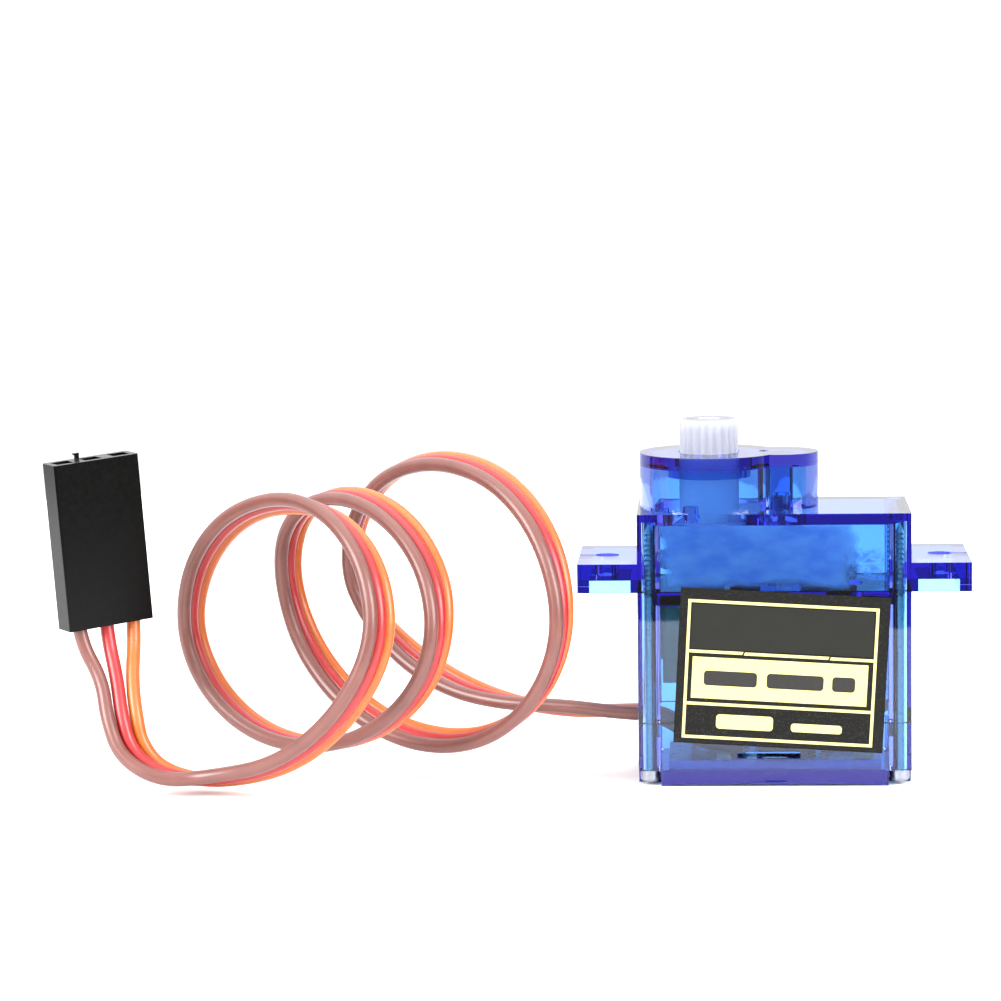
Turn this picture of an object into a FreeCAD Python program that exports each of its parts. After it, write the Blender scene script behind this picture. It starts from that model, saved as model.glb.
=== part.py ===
"""A nine gram hobby servo in a clear blue case, with its gears, motor, potentiometer and lead.

Frame: +X along the case towards the motor end, +Y towards the back, +Z up along the output
shaft. The origin is at the bottom centre of the case. Sizes are millimetres.
"""
import FreeCAD, Part
import math
import os

import Sketcher
from FreeCAD import Placement, Rotation, Vector

DOC = FreeCAD.newDocument("hobby_servo")
SHEET = DOC.addObject("Spreadsheet::Sheet", "dims")
X_AXIS = Vector(1, 0, 0)
Y_AXIS = Vector(0, 1, 0)
Z_AXIS = Vector(0, 0, 1)
FULL_TURN = 360.0

# ---------------------------------------------------------------- driving dimensions
DIMENSIONS = {
    "case_length": 22.6,
    "case_depth": 11.7,
    "case_height": 22.7,
    "case_wall": 0.9,
    "corner_round": 0.15,
    "base_plate": 1.2,
    "seam_low": 5.2,
    "deck_low": 15.0,
    "seam_high": 16.2,
    "top_plate": 1.0,
    "tab_span": 32.5,
    "tab_top": 18.6,
    "tab_pocket_depth": 1.0,
    "tab_pocket_width": 3.4,
    "tab_end_wall": 1.0,
    "tab_skin": 0.45,
    "mount_spacing": 27.8,
    "mount_hole_radius": 1.0,
    "mount_slit": 0.4,
    "output_x": -5.3,
    "axle_x": 0.7,
    "motor_x": 5.9,
    "turret_radius": 5.8,
    "turret_wall": 1.0,
    "turret_plate": 1.15,
    "turret_top": 27.3,
    "boss_radius": 3.1,
    "axle_post_radius": 1.0,
    "journal_radius": 2.5,
    "journal_play": 0.05,
    "bearing_ring_radius": 3.45,
    "bearing_ring_depth": 0.85,
    "stop_radius": 4.45,
    "stop_post_radius": 0.6,
    "spline_top": 30.1,
    "spline_radius": 2.44,
    "spline_depth": 0.11,
    "spline_teeth": 21,
    "horn_screw_radius": 0.85,
    "horn_screw_depth": 5.0,
    "column_x": 10.35,
    "column_y": 4.9,
    "column_radius": 0.9,
    "screw_hole_radius": 0.62,
    "screw_tip": 21.9,
    "screw_head_radius": 0.8,
    "screw_notch": 1.9,
    "screw_notch_height": 1.25,
    "lead_notch_width": 4.0,
    "lead_notch_height": 1.3,
    "vent_length": 5.2,
    "vent_height": 0.45,
    "vent_level": 2.5,
    "axle_radius": 0.5,
    "axle_low": 15.4,
    "axle_top": 23.6,
    "play": 0.05,
    "wheel_teeth": 36,
    "pinion_teeth": 12,
    "gear_module": 0.25,
    "first_wheel_teeth": 42,
    "motor_pinion_teeth": 10,
    "fine_module": 0.2,
    "first_wheel_low": 16.6,
    "first_wheel_top": 17.5,
    "first_pinion_top": 18.9,
    "second_wheel_low": 17.8,
    "second_wheel_top": 18.8,
    "second_pinion_top": 20.2,
    "third_wheel_low": 19.1,
    "third_wheel_top": 20.1,
    "third_pinion_top": 21.4,
    "output_wheel_low": 20.4,
    "output_wheel_top": 21.5,
    "pot_shaft_radius": 0.75,
    "pot_shaft_low": 9.0,
    "pot_shaft_top": 24.0,
    "pot_width": 8.4,
    "pot_base_low": 8.4,
    "pot_base_top": 10.4,
    "pot_cavity_radius": 3.7,
    "pot_cavity_top": 12.0,
    "motor_radius": 4.0,
    "motor_flat": 3.6,
    "motor_wall": 0.35,
    "motor_low": 6.6,
    "end_cap_low": 5.6,
    "motor_boss_radius": 1.5,
    "motor_boss_top": 15.9,
    "motor_shaft_radius": 0.4,
    "board_length": 17.6,
    "board_depth": 8.8,
    "board_thick": 0.7,
    "label_length": 17.3,
    "label_height": 13.0,
    "label_thick": 0.08,
    "label_x": 0.6,
    "label_z": 9.7,
    "label_turn": 3.3,
    "wire_radius": 0.575,
    "wire_pitch": 1.27,
    "thin_wire_radius": 0.3,
    "plug_pitch": 2.54,
    "plug_length": 14.0,
}
TOOTH_ADDENDUM = 0.7     # in modules: short teeth, so wheels clear the pinions' roots
TOOTH_DEDENDUM = 1.1     # in modules
TOOTH_THINNING = 0.03    # taken off each flank for backlash
PRESSURE_ANGLE = math.radians(20)


def fill_sheet():
    """One row a dimension: its name, its value in millimetres (or a count) and its alias."""
    for row, (alias, number) in enumerate(DIMENSIONS.items(), start=1):
        SHEET.set(f"A{row}", alias)
        SHEET.set(f"B{row}", str(number))
        SHEET.setAlias(f"B{row}", alias)
    DOC.recompute()


def size(alias):
    return float(SHEET.get(alias))


# ---------------------------------------------------------------- helpers: primitives
def bind(feature, **formulas):
    """Bind properties to formulas on the sheet."""
    for name, formula in formulas.items():
        feature.setExpression(name.replace("_", "."), formula)


def place(feature, x, y, z):
    bind(feature, Placement_Base_x=x, Placement_Base_y=y, Placement_Base_z=z)


def block(name, x_range, y_range, z_range):
    """A box between two formulas along each axis."""
    box = DOC.addObject("Part::Box", name)
    low = [pair[0] for pair in (x_range, y_range, z_range)]
    spans = [f"({high}) - ({start})" for start, high in (x_range, y_range, z_range)]
    bind(box, Length=spans[0], Width=spans[1], Height=spans[2])
    place(box, *low)
    return box


def rod(name, x, y, z_range, radius):
    """An upright cylinder between two heights."""
    cylinder = DOC.addObject("Part::Cylinder", name)
    bind(cylinder, Radius=radius, Height=f"({z_range[1]}) - ({z_range[0]})")
    place(cylinder, x, y, z_range[0])
    return cylinder


def join(name, pieces):
    fused = DOC.addObject("Part::MultiFuse", name)
    fused.Shapes = pieces
    fused.Refine = True
    return fused


def carve(name, base, tools):
    cut = DOC.addObject("Part::Cut", name)
    cut.Base = base
    cut.Tool = tools[0] if len(tools) == 1 else join(f"{name}_tools", tools)
    cut.Refine = True
    return cut


def overlap(name, first, second):
    common = DOC.addObject("Part::Common", name)
    common.Base = first
    common.Tool = second
    return common


def group(name, pieces):
    """Separate solids that share one node."""
    compound = DOC.addObject("Part::Compound", name)
    compound.Links = pieces
    return compound


def turned(feature, degrees, x, y):
    """Turn a piece about the upright line through x, y."""
    DOC.recompute()
    spin = Placement(Vector(0, 0, 0), Rotation(Z_AXIS, degrees), Vector(x, y, 0))
    moved = DOC.addObject("Part::Feature", f"{feature.Name}_turned")
    moved.Shape = feature.Shape.copy()
    moved.Placement = spin.multiply(feature.Placement)
    return moved


# ---------------------------------------------------------------- helpers: part design
def new_body(name, x="0"):
    body = DOC.addObject("PartDesign::Body", name)
    body.setExpression("Placement.Base.x", x)
    return body


def origin_feature(body, role):
    return next(item for item in body.Origin.OriginFeatures if item.Role == role)


def new_sketch(body, name, height, role="XY_Plane"):
    """A sketch on one of the body's own planes, lifted along its normal by a formula."""
    sketch = body.newObject("Sketcher::SketchObject", name)
    sketch.AttachmentSupport = (origin_feature(body, role), [""])
    sketch.MapMode = "FlatFace"
    sketch.setExpression("AttachmentOffset.Base.z", height)
    DOC.recompute()
    return sketch


def hold_point(sketch, geometry, position, x, y):
    """Fix a point of the sketch at two formulas; zero holds it on the axis itself."""
    for kind, formula, axis in (("DistanceX", x, -2), ("DistanceY", y, -1)):
        if formula == "0":
            sketch.addConstraint(Sketcher.Constraint("PointOnObject", geometry, position, axis))
            continue
        number = float(sketch.evalExpression(formula))
        index = sketch.addConstraint(Sketcher.Constraint(kind, -1, 1, geometry, position, number))
        sketch.setExpression(f"Constraints[{index}]", formula)


def draw_rectangle(sketch, x_range, y_range):
    xs = [float(sketch.evalExpression(formula)) for formula in x_range]
    ys = [float(sketch.evalExpression(formula)) for formula in y_range]
    corners = [Vector(xs[0], ys[0]), Vector(xs[1], ys[0]), Vector(xs[1], ys[1]), Vector(xs[0], ys[1])]
    first = sketch.GeometryCount
    for number, corner in enumerate(corners):
        sketch.addGeometry(Part.LineSegment(corner, corners[(number + 1) % 4]))
    for number in range(4):
        following = first + (number + 1) % 4
        sketch.addConstraint(Sketcher.Constraint("Coincident", first + number, 2, following, 1))
        direction = "Vertical" if number % 2 else "Horizontal"
        sketch.addConstraint(Sketcher.Constraint(direction, first + number))
    hold_point(sketch, first, 1, x_range[0], y_range[0])
    hold_point(sketch, first + 1, 2, x_range[1], y_range[1])


def draw_circle(sketch, x, y, radius):
    centre = Vector(*(float(sketch.evalExpression(formula)) for formula in (x, y)))
    number = float(sketch.evalExpression(radius))
    index = sketch.addGeometry(Part.Circle(centre, Z_AXIS, number))
    hold_point(sketch, index, 3, x, y)
    held = sketch.addConstraint(Sketcher.Constraint("Radius", index, number))
    sketch.setExpression(f"Constraints[{held}]", radius)


def extrude(body, sketch, length, cut=False):
    """Pad a sketch upwards, or pocket it upwards, and make sure that the volume moved that way."""
    before = body.Shape.Volume if body.Tip else 0.0
    kind = "Pocket" if cut else "Pad"
    feature = body.newObject(f"PartDesign::{kind}", f"{sketch.Name}_{kind.lower()}")
    feature.Profile = sketch
    feature.Reversed = cut
    feature.setExpression("Length", length)
    DOC.recompute()
    after = body.Shape.Volume
    if (after < before) != cut or abs(after - before) < 1e-6:
        raise RuntimeError(f"{feature.Name} did not change {body.Name} the right way")
    return feature


def rectangle_step(body, name, x_range, y_range, z_range, cut=False):
    sketch = new_sketch(body, name, z_range[0])
    draw_rectangle(sketch, x_range, y_range)
    return extrude(body, sketch, f"({z_range[1]}) - ({z_range[0]})", cut)


def circle_step(body, name, centres, z_range, radius, cut=False):
    sketch = new_sketch(body, name, z_range[0])
    for x, y in centres:
        draw_circle(sketch, x, y, radius)
    return extrude(body, sketch, f"({z_range[1]}) - ({z_range[0]})", cut)


def round_upright_edges(body, base, radius, at_x):
    """Fillet the upright edges that stand at plus or minus the given x."""
    names = []
    for number, edge in enumerate(body.Shape.Edges, start=1):
        ends = [vertex.Point for vertex in edge.Vertexes]
        upright = len(ends) == 2 and abs(ends[0].x - ends[1].x) + abs(ends[0].y - ends[1].y) < 1e-6
        if upright and abs(abs(ends[0].x) - at_x) < 1e-6:
            names.append(f"Edge{number}")
    fillet = body.newObject("PartDesign::Fillet", f"{base.Name}_rounding")
    fillet.Base = (base, names)
    fillet.setExpression("Radius", radius)
    DOC.recompute()
    return fillet


# ---------------------------------------------------------------- the case
CORNERS = [(sx, sy) for sx in (-1, 1) for sy in (-1, 1)]
COLUMN_PLACES = [(f"{sx} * dims.column_x", f"{sy} * dims.column_y") for sx, sy in CORNERS]
OUTER_X = ("-dims.case_length / 2", "dims.case_length / 2")
OUTER_Y = ("-dims.case_depth / 2", "dims.case_depth / 2")
INNER_X = ("-dims.case_length / 2 + dims.case_wall", "dims.case_length / 2 - dims.case_wall")
INNER_Y = ("-dims.case_depth / 2 + dims.case_wall", "dims.case_depth / 2 - dims.case_wall")
SEAM_LEAD_Y = ("-dims.lead_notch_width / 2", "dims.lead_notch_width / 2")
SEAM_LEAD_X = ("-dims.case_length / 2 - 1", "-dims.case_length / 2 + dims.case_wall + 0.5")


def case_shell(name, z_range, cavity_range, column_range, hole_range):
    """A rectangular shell with four screw columns in its corners."""
    body = new_body(name)
    wall = rectangle_step(body, f"{name}_outline", OUTER_X, OUTER_Y, z_range)
    round_upright_edges(body, wall, "dims.corner_round", size("case_length") / 2)
    rectangle_step(body, f"{name}_cavity", INNER_X, INNER_Y, cavity_range, cut=True)
    circle_step(body, f"{name}_columns", COLUMN_PLACES, column_range, "dims.column_radius")
    circle_step(body, f"{name}_screw_holes", COLUMN_PLACES, hole_range, "dims.screw_hole_radius", cut=True)
    return body


def make_bottom_cover():
    """The lower shell: base plate, corner notches for the screw heads, vent slot, lead notch."""
    body = case_shell(
        "bottom_cover",
        ("0", "dims.seam_low"),
        ("dims.base_plate", "dims.seam_low"),
        ("dims.base_plate / 2", "dims.seam_low - dims.base_plate"),
        ("0", "dims.seam_low"),
    )
    for number, (sx, sy) in enumerate(CORNERS):
        far_x = f"{sx} * (dims.case_length / 2 + 1)"
        near_x = f"{sx} * (dims.case_length / 2 - dims.screw_notch)"
        far_y = f"{sy} * (dims.case_depth / 2 + 1)"
        near_y = f"{sy} * (dims.case_depth / 2 - dims.screw_notch)"
        x_range = (far_x, near_x) if sx < 0 else (near_x, far_x)
        y_range = (far_y, near_y) if sy < 0 else (near_y, far_y)
        z_range = ("0", "dims.screw_notch_height")
        rectangle_step(body, f"head_notch_{number}", x_range, y_range, z_range, cut=True)
    rectangle_step(
        body, "lead_notch_lower", SEAM_LEAD_X, SEAM_LEAD_Y,
        ("dims.seam_low - dims.lead_notch_height / 2", "dims.seam_low"), cut=True)
    front = "-dims.case_depth / 2"
    vent_x = ("-0.5 - dims.vent_length / 2", "-0.5 + dims.vent_length / 2")
    vent_z = ("dims.vent_level - dims.vent_height / 2", "dims.vent_level + dims.vent_height / 2")
    vent_y = (f"{front} - 1", f"{front} + dims.case_wall + 0.2")
    rectangle_step(body, "vent_slot", vent_x, vent_y, vent_z, cut=True)
    gate_y = (f"{front} - 1", f"{front} + 0.4")
    rectangle_step(body, "gate_recess", ("-1", "1"), gate_y, ("0.3", "1"), cut=True)
    return body


def make_middle_case():
    """The middle shell: walls round the motor, and the deck that the gears stand on."""
    body = case_shell(
        "middle_case",
        ("dims.seam_low", "dims.seam_high"),
        ("dims.seam_low", "dims.deck_low"),
        ("dims.seam_low", "dims.deck_low + 0.2"),
        ("dims.seam_low", "dims.seam_high"),
    )
    rectangle_step(
        body, "lead_notch_upper", SEAM_LEAD_X, SEAM_LEAD_Y,
        ("dims.seam_low", "dims.seam_low + dims.lead_notch_height / 2"), cut=True)
    deck = ("dims.deck_low", "dims.seam_high")
    boss_hole_radius = "dims.motor_boss_radius + 0.1"
    circle_step(body, "motor_boss_hole", [("dims.motor_x", "0")], deck, boss_hole_radius, cut=True)
    shaft_hole_radius = "dims.pot_shaft_radius + 0.1"
    circle_step(body, "pot_shaft_hole", [("dims.output_x", "0")], deck, shaft_hole_radius, cut=True)
    axle_seat = ("dims.axle_low", "dims.seam_high")
    circle_step(body, "axle_seat", [("dims.axle_x", "0")], axle_seat, "dims.axle_radius", cut=True)
    return body


def make_top_case():
    """The upper shell: mounting tabs, turret with the shaft bearing, and the axle boss."""
    ceiling = "dims.case_height - dims.top_plate"
    body = case_shell(
        "top_case",
        ("dims.seam_high", "dims.case_height"),
        ("dims.seam_high", ceiling),
        ("dims.seam_high", f"{ceiling} + 0.2"),
        ("dims.seam_high", "dims.screw_tip + 0.1"),
    )
    for side, sign in (("left", -1), ("right", 1)):
        add_tab(body, side, sign)

    root = "dims.case_height - dims.top_plate / 2"
    centre = [("dims.output_x", "0")]
    circle_step(body, "turret", centre, (root, "dims.turret_top"), "dims.turret_radius")
    circle_step(body, "gear_boss", [("dims.axle_x", "0")], (root, "dims.turret_top"), "dims.boss_radius")
    plate_low = "dims.turret_top - dims.turret_plate"
    inside_radius = "dims.turret_radius - dims.turret_wall"
    circle_step(body, "turret_cavity", centre, (ceiling, plate_low), inside_radius, cut=True)
    boss_centre = [("dims.axle_x", "0")]
    boss_inside = "dims.boss_radius - dims.turret_wall"
    circle_step(body, "boss_cavity", boss_centre, (ceiling, plate_low), boss_inside, cut=True)
    post_z = (f"{ceiling} + 0.6", f"{plate_low} + 0.2")
    circle_step(body, "axle_post", boss_centre, post_z, "dims.axle_post_radius")
    ring_low = f"{plate_low} - dims.bearing_ring_depth"
    circle_step(body, "bearing_ring", centre, (ring_low, f"{plate_low} + 0.2"), "dims.bearing_ring_radius")
    stop_x = "dims.output_x + dims.stop_radius * cos(109 deg)"
    stops = [(stop_x, f"{sign} * dims.stop_radius * sin(109 deg)") for sign in (-1, 1)]
    stop_z = (f"{ceiling} + 0.2", f"{ceiling} + 1.5")
    circle_step(body, "stop_posts", stops, stop_z, "dims.stop_post_radius")
    circle_step(
        body, "shaft_bearing", centre, (f"{ring_low} - 0.1", "dims.turret_top + 0.1"),
        "dims.journal_radius + dims.journal_play", cut=True)
    circle_step(
        body, "axle_socket", boss_centre, (f"{ceiling} - 0.1", "dims.axle_top + 0.3"),
        "dims.axle_radius", cut=True)
    circle_step(
        body, "gate_dimple", [("-0.75", "0")], ("dims.turret_top - 0.15", "dims.turret_top"), "0.4", cut=True)
    return body


def add_tab(body, side, sign):
    """A mounting tab: a plate over a pocket, with its screw hole and the slit to the tab's end."""
    def span(near, far):
        return (near, far) if sign > 0 else (far, near)

    end = f"{sign} * dims.tab_span / 2"
    root = f"{sign} * (dims.case_length / 2 - 0.1)"
    tab_z = ("dims.seam_high", "dims.tab_top")
    tab = rectangle_step(body, f"{side}_tab", span(root, end), OUTER_Y, tab_z)
    round_upright_edges(body, tab, "dims.corner_round", size("tab_span") / 2)
    pocket_far = f"{sign} * (dims.tab_span / 2 - dims.tab_end_wall)"
    pocket_near = f"{sign} * (dims.tab_span / 2 - dims.tab_end_wall - dims.tab_pocket_width)"
    pocket_y = ("-dims.case_depth / 2 + dims.tab_skin", "dims.case_depth / 2 - dims.tab_skin")
    pocket_z = ("dims.seam_high", "dims.seam_high + dims.tab_pocket_depth")
    rectangle_step(body, f"{side}_tab_pocket", span(pocket_near, pocket_far), pocket_y, pocket_z, cut=True)
    hole = [(f"{sign} * dims.mount_spacing / 2", "0")]
    circle_step(body, f"{side}_mount_hole", hole, tab_z, "dims.mount_hole_radius", cut=True)
    slit_x = span(f"{sign} * dims.mount_spacing / 2", f"{sign} * (dims.tab_span / 2 + 1)")
    slit_y = ("-dims.mount_slit / 2", "dims.mount_slit / 2")
    rectangle_step(body, f"{side}_tab_slit", slit_x, slit_y, tab_z, cut=True)


def make_case_screws():
    """Four long self-tapping screws driven up from below, one in each corner column."""
    head = size("screw_head_radius")
    crest = size("screw_hole_radius") - 0.01
    core = crest - 0.14
    shank = crest - 0.07
    head_top = size("screw_notch_height")
    thread_start = size("deck_low") + 0.8
    tip = size("screw_tip")
    pitch = 0.42
    outline = [Vector(0, 0, 0.3), Vector(head - 0.15, 0, 0.3), Vector(head, 0, 0.5)]
    outline += [Vector(head, 0, head_top), Vector(shank, 0, head_top), Vector(shank, 0, thread_start)]
    for turn in range(int((tip - thread_start) / pitch) - 1):
        base = thread_start + turn * pitch
        outline.append(Vector(core, 0, base + 0.1))
        outline.append(Vector(crest, 0, base + pitch / 2))
        outline.append(Vector(core, 0, base + pitch))
    outline += [Vector(0, 0, tip), Vector(0, 0, 0.3)]
    screw = Part.Face(Part.makePolygon(outline)).revolve(Vector(0, 0, 0), Z_AXIS, FULL_TURN)
    for angle in (0, 90):
        slot = Part.makeBox(1.0, 0.26, 0.45, Vector(-0.5, -0.13, 0.1))
        slot.rotate(Vector(0, 0, 0), Z_AXIS, angle + 20)
        screw = screw.cut(slot)
    screws = []
    for number, (sx, sy) in enumerate(CORNERS):
        piece = DOC.addObject("Part::Feature", f"case_screw_{number}")
        piece.Shape = screw
        place(piece, f"{sx} * dims.column_x", f"{sy} * dims.column_y", "0")
        screws.append(piece)
    return group("case_screws", screws)


def make_label():
    """A thin sticker on the front, a little askew."""
    sticker = DOC.addObject("Part::Box", "label")
    bind(sticker, Length="dims.label_length", Width="dims.label_thick", Height="dims.label_height")
    DOC.recompute()
    centre = Vector(size("label_length") / 2, 0, size("label_height") / 2)
    lean = Rotation(Y_AXIS, size("label_turn"))
    middle = Vector(size("label_x"), -size("case_depth") / 2 - size("label_thick"), size("label_z"))
    sticker.Placement = Placement(middle - lean.multVec(centre), lean)
    return sticker


# ---------------------------------------------------------------- gears
def involute_angle(radius, base_radius):
    pressure = math.acos(min(1.0, base_radius / radius))
    return math.tan(pressure) - pressure


def tooth_outline(teeth, module, turn):
    """One tooth about the +X axis: straight root, one arc a flank and an arc over the tip."""
    pitch_radius = teeth * module / 2
    base_radius = pitch_radius * math.cos(PRESSURE_ANGLE)
    tip = pitch_radius + TOOTH_ADDENDUM * module
    root = pitch_radius - TOOTH_DEDENDUM * module - 0.05
    flank_start = max(base_radius, root)
    half_at_pitch = math.pi / (2 * teeth) - TOOTH_THINNING / pitch_radius

    def half_angle(radius):
        unwound = involute_angle(max(radius, base_radius), base_radius)
        return half_at_pitch + involute_angle(pitch_radius, base_radius) - unwound

    def point(radius, side):
        angle = math.radians(turn) + side * half_angle(radius)
        return Vector(radius * math.cos(angle), radius * math.sin(angle))

    middle = (flank_start + tip) / 2
    tip_top = Vector(tip * math.cos(math.radians(turn)), tip * math.sin(math.radians(turn)))
    edges = []
    for side in (-1, 1):
        edges.append(Part.Arc(point(flank_start, side), point(middle, side), point(tip, side)))
        if base_radius > root:
            edges.append(Part.LineSegment(point(root, side), point(flank_start, side)))
    edges.append(Part.Arc(point(tip, -1), tip_top, point(tip, 1)))
    edges.append(Part.LineSegment(point(root, -1), point(root, 1)))
    return edges


def toothed_step(body, name, teeth, module, z_range, turn):
    """A disc at the root circle, one tooth, and the tooth's polar pattern."""
    count = int(size(teeth))
    step = size(module)
    circle_step(body, f"{name}_disc", [("0", "0")], z_range,
                f"dims.{teeth} * dims.{module} / 2 - {TOOTH_DEDENDUM} * dims.{module}")
    sketch = new_sketch(body, f"{name}_tooth", z_range[0])
    for edge in tooth_outline(count, step, turn):
        sketch.addGeometry(edge)
    tooth = extrude(body, sketch, f"({z_range[1]}) - ({z_range[0]})")
    repeat_round(body, tooth, name, f"dims.{teeth}")


def repeat_round(body, feature, name, count):
    before = body.Shape.Volume
    pattern = body.newObject("PartDesign::PolarPattern", f"{name}_pattern")
    pattern.Originals = [feature]
    pattern.Axis = (origin_feature(body, "Z_Axis"), [""])
    pattern.Angle = FULL_TURN
    pattern.setExpression("Occurrences", count)
    body.Tip = pattern
    DOC.recompute()
    if body.Shape.Volume <= before:
        raise RuntimeError(f"{name} was not repeated")


def half_pitch(teeth):
    """Turns a wheel so that a gap, not a tooth, faces its pinion at rest."""
    return FULL_TURN / size(teeth) / 2


def make_first_gear():
    body = new_body("first_gear", "dims.axle_x")
    wheel = ("dims.first_wheel_low", "dims.first_wheel_top")
    pinion = ("dims.first_wheel_top", "dims.first_pinion_top")
    turn = half_pitch("first_wheel_teeth")
    toothed_step(body, "first_wheel", "first_wheel_teeth", "fine_module", wheel, turn)
    toothed_step(body, "first_pinion", "pinion_teeth", "gear_module", pinion, 0)
    collar = ("dims.seam_high + 0.1", "dims.first_wheel_low")
    circle_step(body, "first_collar", [("0", "0")], collar, "dims.axle_radius * 2")
    bore = ("dims.seam_high", "dims.first_pinion_top + 0.1")
    circle_step(body, "first_bore", [("0", "0")], bore, "dims.axle_radius + dims.play", cut=True)
    return body


def make_second_gear():
    body = new_body("second_gear", "dims.output_x")
    wheel = ("dims.second_wheel_low", "dims.second_wheel_top")
    pinion = ("dims.second_wheel_top", "dims.second_pinion_top")
    toothed_step(body, "second_wheel", "wheel_teeth", "gear_module", wheel, half_pitch("wheel_teeth"))
    toothed_step(body, "second_pinion", "pinion_teeth", "gear_module", pinion, 0)
    collar = ("dims.seam_high + 0.1", "dims.second_wheel_low")
    circle_step(body, "second_collar", [("0", "0")], collar, "dims.pot_shaft_radius + 0.5")
    bore = ("dims.seam_high", "dims.second_pinion_top + 0.1")
    circle_step(body, "second_bore", [("0", "0")], bore, "dims.pot_shaft_radius + dims.play", cut=True)
    return body


def make_third_gear():
    body = new_body("third_gear", "dims.axle_x")
    wheel = ("dims.third_wheel_low", "dims.third_wheel_top")
    pinion = ("dims.third_wheel_top", "dims.third_pinion_top")
    toothed_step(body, "third_wheel", "wheel_teeth", "gear_module", wheel, half_pitch("wheel_teeth"))
    toothed_step(body, "third_pinion", "pinion_teeth", "gear_module", pinion, 0)
    bore = ("dims.third_wheel_low - 0.1", "dims.third_pinion_top + 0.1")
    circle_step(body, "third_bore", [("0", "0")], bore, "dims.axle_radius + dims.play", cut=True)
    return body


def make_motor_pinion():
    body = new_body("motor_pinion", "dims.motor_x")
    face = ("dims.first_wheel_low - 0.1", "dims.first_wheel_top + 0.2")
    toothed_step(body, "motor_pinion", "motor_pinion_teeth", "fine_module", face, 0)
    bore = ("dims.first_wheel_low - 0.2", "dims.first_wheel_top + 0.3")
    circle_step(body, "motor_pinion_bore", [("0", "0")], bore, "dims.motor_shaft_radius", cut=True)
    return body


def make_output_gear():
    """The last wheel, its journal in the turret, the splined head and the stop lug."""
    body = new_body("output_gear", "dims.output_x")
    centre = [("0", "0")]
    wheel = ("dims.output_wheel_low", "dims.output_wheel_top")
    toothed_step(body, "output_wheel", "wheel_teeth", "gear_module", wheel, half_pitch("wheel_teeth"))
    journal_top = "dims.turret_top - 0.1"
    circle_step(body, "journal", centre, ("dims.output_wheel_top - 0.1", journal_top), "dims.journal_radius")
    circle_step(
        body, "spline_core", centre, (f"{journal_top} - 0.1", "dims.spline_top"),
        "dims.spline_radius - dims.spline_depth")
    add_spline(body, journal_top)
    rectangle_step(
        body, "stop_lug", ("dims.journal_radius - 0.3", "dims.stop_radius - 0.1"), ("-0.6", "0.6"),
        ("dims.output_wheel_top - 0.1", "dims.output_wheel_top + 1.4"))
    screw_z = ("dims.spline_top - dims.horn_screw_depth", "dims.spline_top + 0.1")
    circle_step(body, "horn_screw_hole", centre, screw_z, "dims.horn_screw_radius", cut=True)
    shaft_hole = ("dims.output_wheel_low - 0.1", "dims.pot_shaft_top + 0.1")
    sketch = new_sketch(body, "shaft_socket", shaft_hole[0])
    draw_flatted_circle(sketch, size("pot_shaft_radius") + 0.01, flat_distance() + 0.01)
    extrude(body, sketch, f"({shaft_hole[1]}) - ({shaft_hole[0]})", cut=True)
    return body


def flat_distance():
    """From the potentiometer shaft's axis to the flat at its top."""
    return size("pot_shaft_radius") * 0.65


def draw_flatted_circle(sketch, radius, flat):
    half = math.sqrt(radius ** 2 - flat ** 2)
    low = Vector(flat, -half)
    high = Vector(flat, half)
    sketch.addGeometry(Part.Arc(high, Vector(-radius, 0), low))
    sketch.addGeometry(Part.LineSegment(low, high))


def add_spline(body, low):
    """Twenty-one pointed teeth round the head, bevelled at the top."""
    tip = size("spline_radius")
    root = tip - size("spline_depth")
    half = math.radians(FULL_TURN / size("spline_teeth") / 2) * 0.9
    inner = root - 0.05
    corners = [
        Vector(inner, -inner * math.tan(half)),
        Vector(root * math.cos(half), -root * math.sin(half)),
        Vector(tip, -0.1),
        Vector(tip, 0.1),
        Vector(root * math.cos(half), root * math.sin(half)),
        Vector(inner, inner * math.tan(half)),
    ]
    sketch = new_sketch(body, "spline_tooth", low)
    for number, corner in enumerate(corners):
        sketch.addGeometry(Part.LineSegment(corner, corners[(number + 1) % len(corners)]))
    tooth = extrude(body, sketch, f"dims.spline_top - ({low})")
    repeat_round(body, tooth, "spline", "dims.spline_teeth")
    top = size("spline_top")
    bevel = 0.22
    profile = [Vector(tip + 0.2, top + 0.1), Vector(tip - bevel, top + 0.1), Vector(tip - bevel, top)]
    profile += [Vector(tip + 0.01, top - bevel), Vector(tip + 0.2, top - bevel)]
    outline = new_sketch(body, "head_bevel", "0", role="XZ_Plane")
    for number, corner in enumerate(profile):
        outline.addGeometry(Part.LineSegment(corner, profile[(number + 1) % len(profile)]))
    before = body.Shape.Volume
    groove = body.newObject("PartDesign::Groove", "head_groove")
    groove.Profile = outline
    groove.ReferenceAxis = (origin_feature(body, "Z_Axis"), [""])
    groove.Angle = FULL_TURN
    DOC.recompute()
    if body.Shape.Volume >= before:
        raise RuntimeError("the head is not bevelled")


def make_gear_axle():
    return rod("gear_axle", "dims.axle_x", "0", ("dims.axle_low", "dims.axle_top"), "dims.axle_radius")


# ---------------------------------------------------------------- the motor
def motor_outline(name, z_range, inset):
    """A round can with two flats, as a solid of the given inset from its outer face."""
    half = f"(dims.motor_flat - ({inset}))"
    barrel = rod(f"{name}_barrel", "dims.motor_x", "0", z_range, f"dims.motor_radius - ({inset})")
    flats = block(
        f"{name}_flats",
        (f"dims.motor_x - {half}", f"dims.motor_x + {half}"),
        ("-dims.motor_radius", "dims.motor_radius"),
        z_range,
    )
    return overlap(name, barrel, flats)


def motor_rod(name, z_range, radius):
    return rod(name, "dims.motor_x", "0", z_range, radius)


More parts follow.
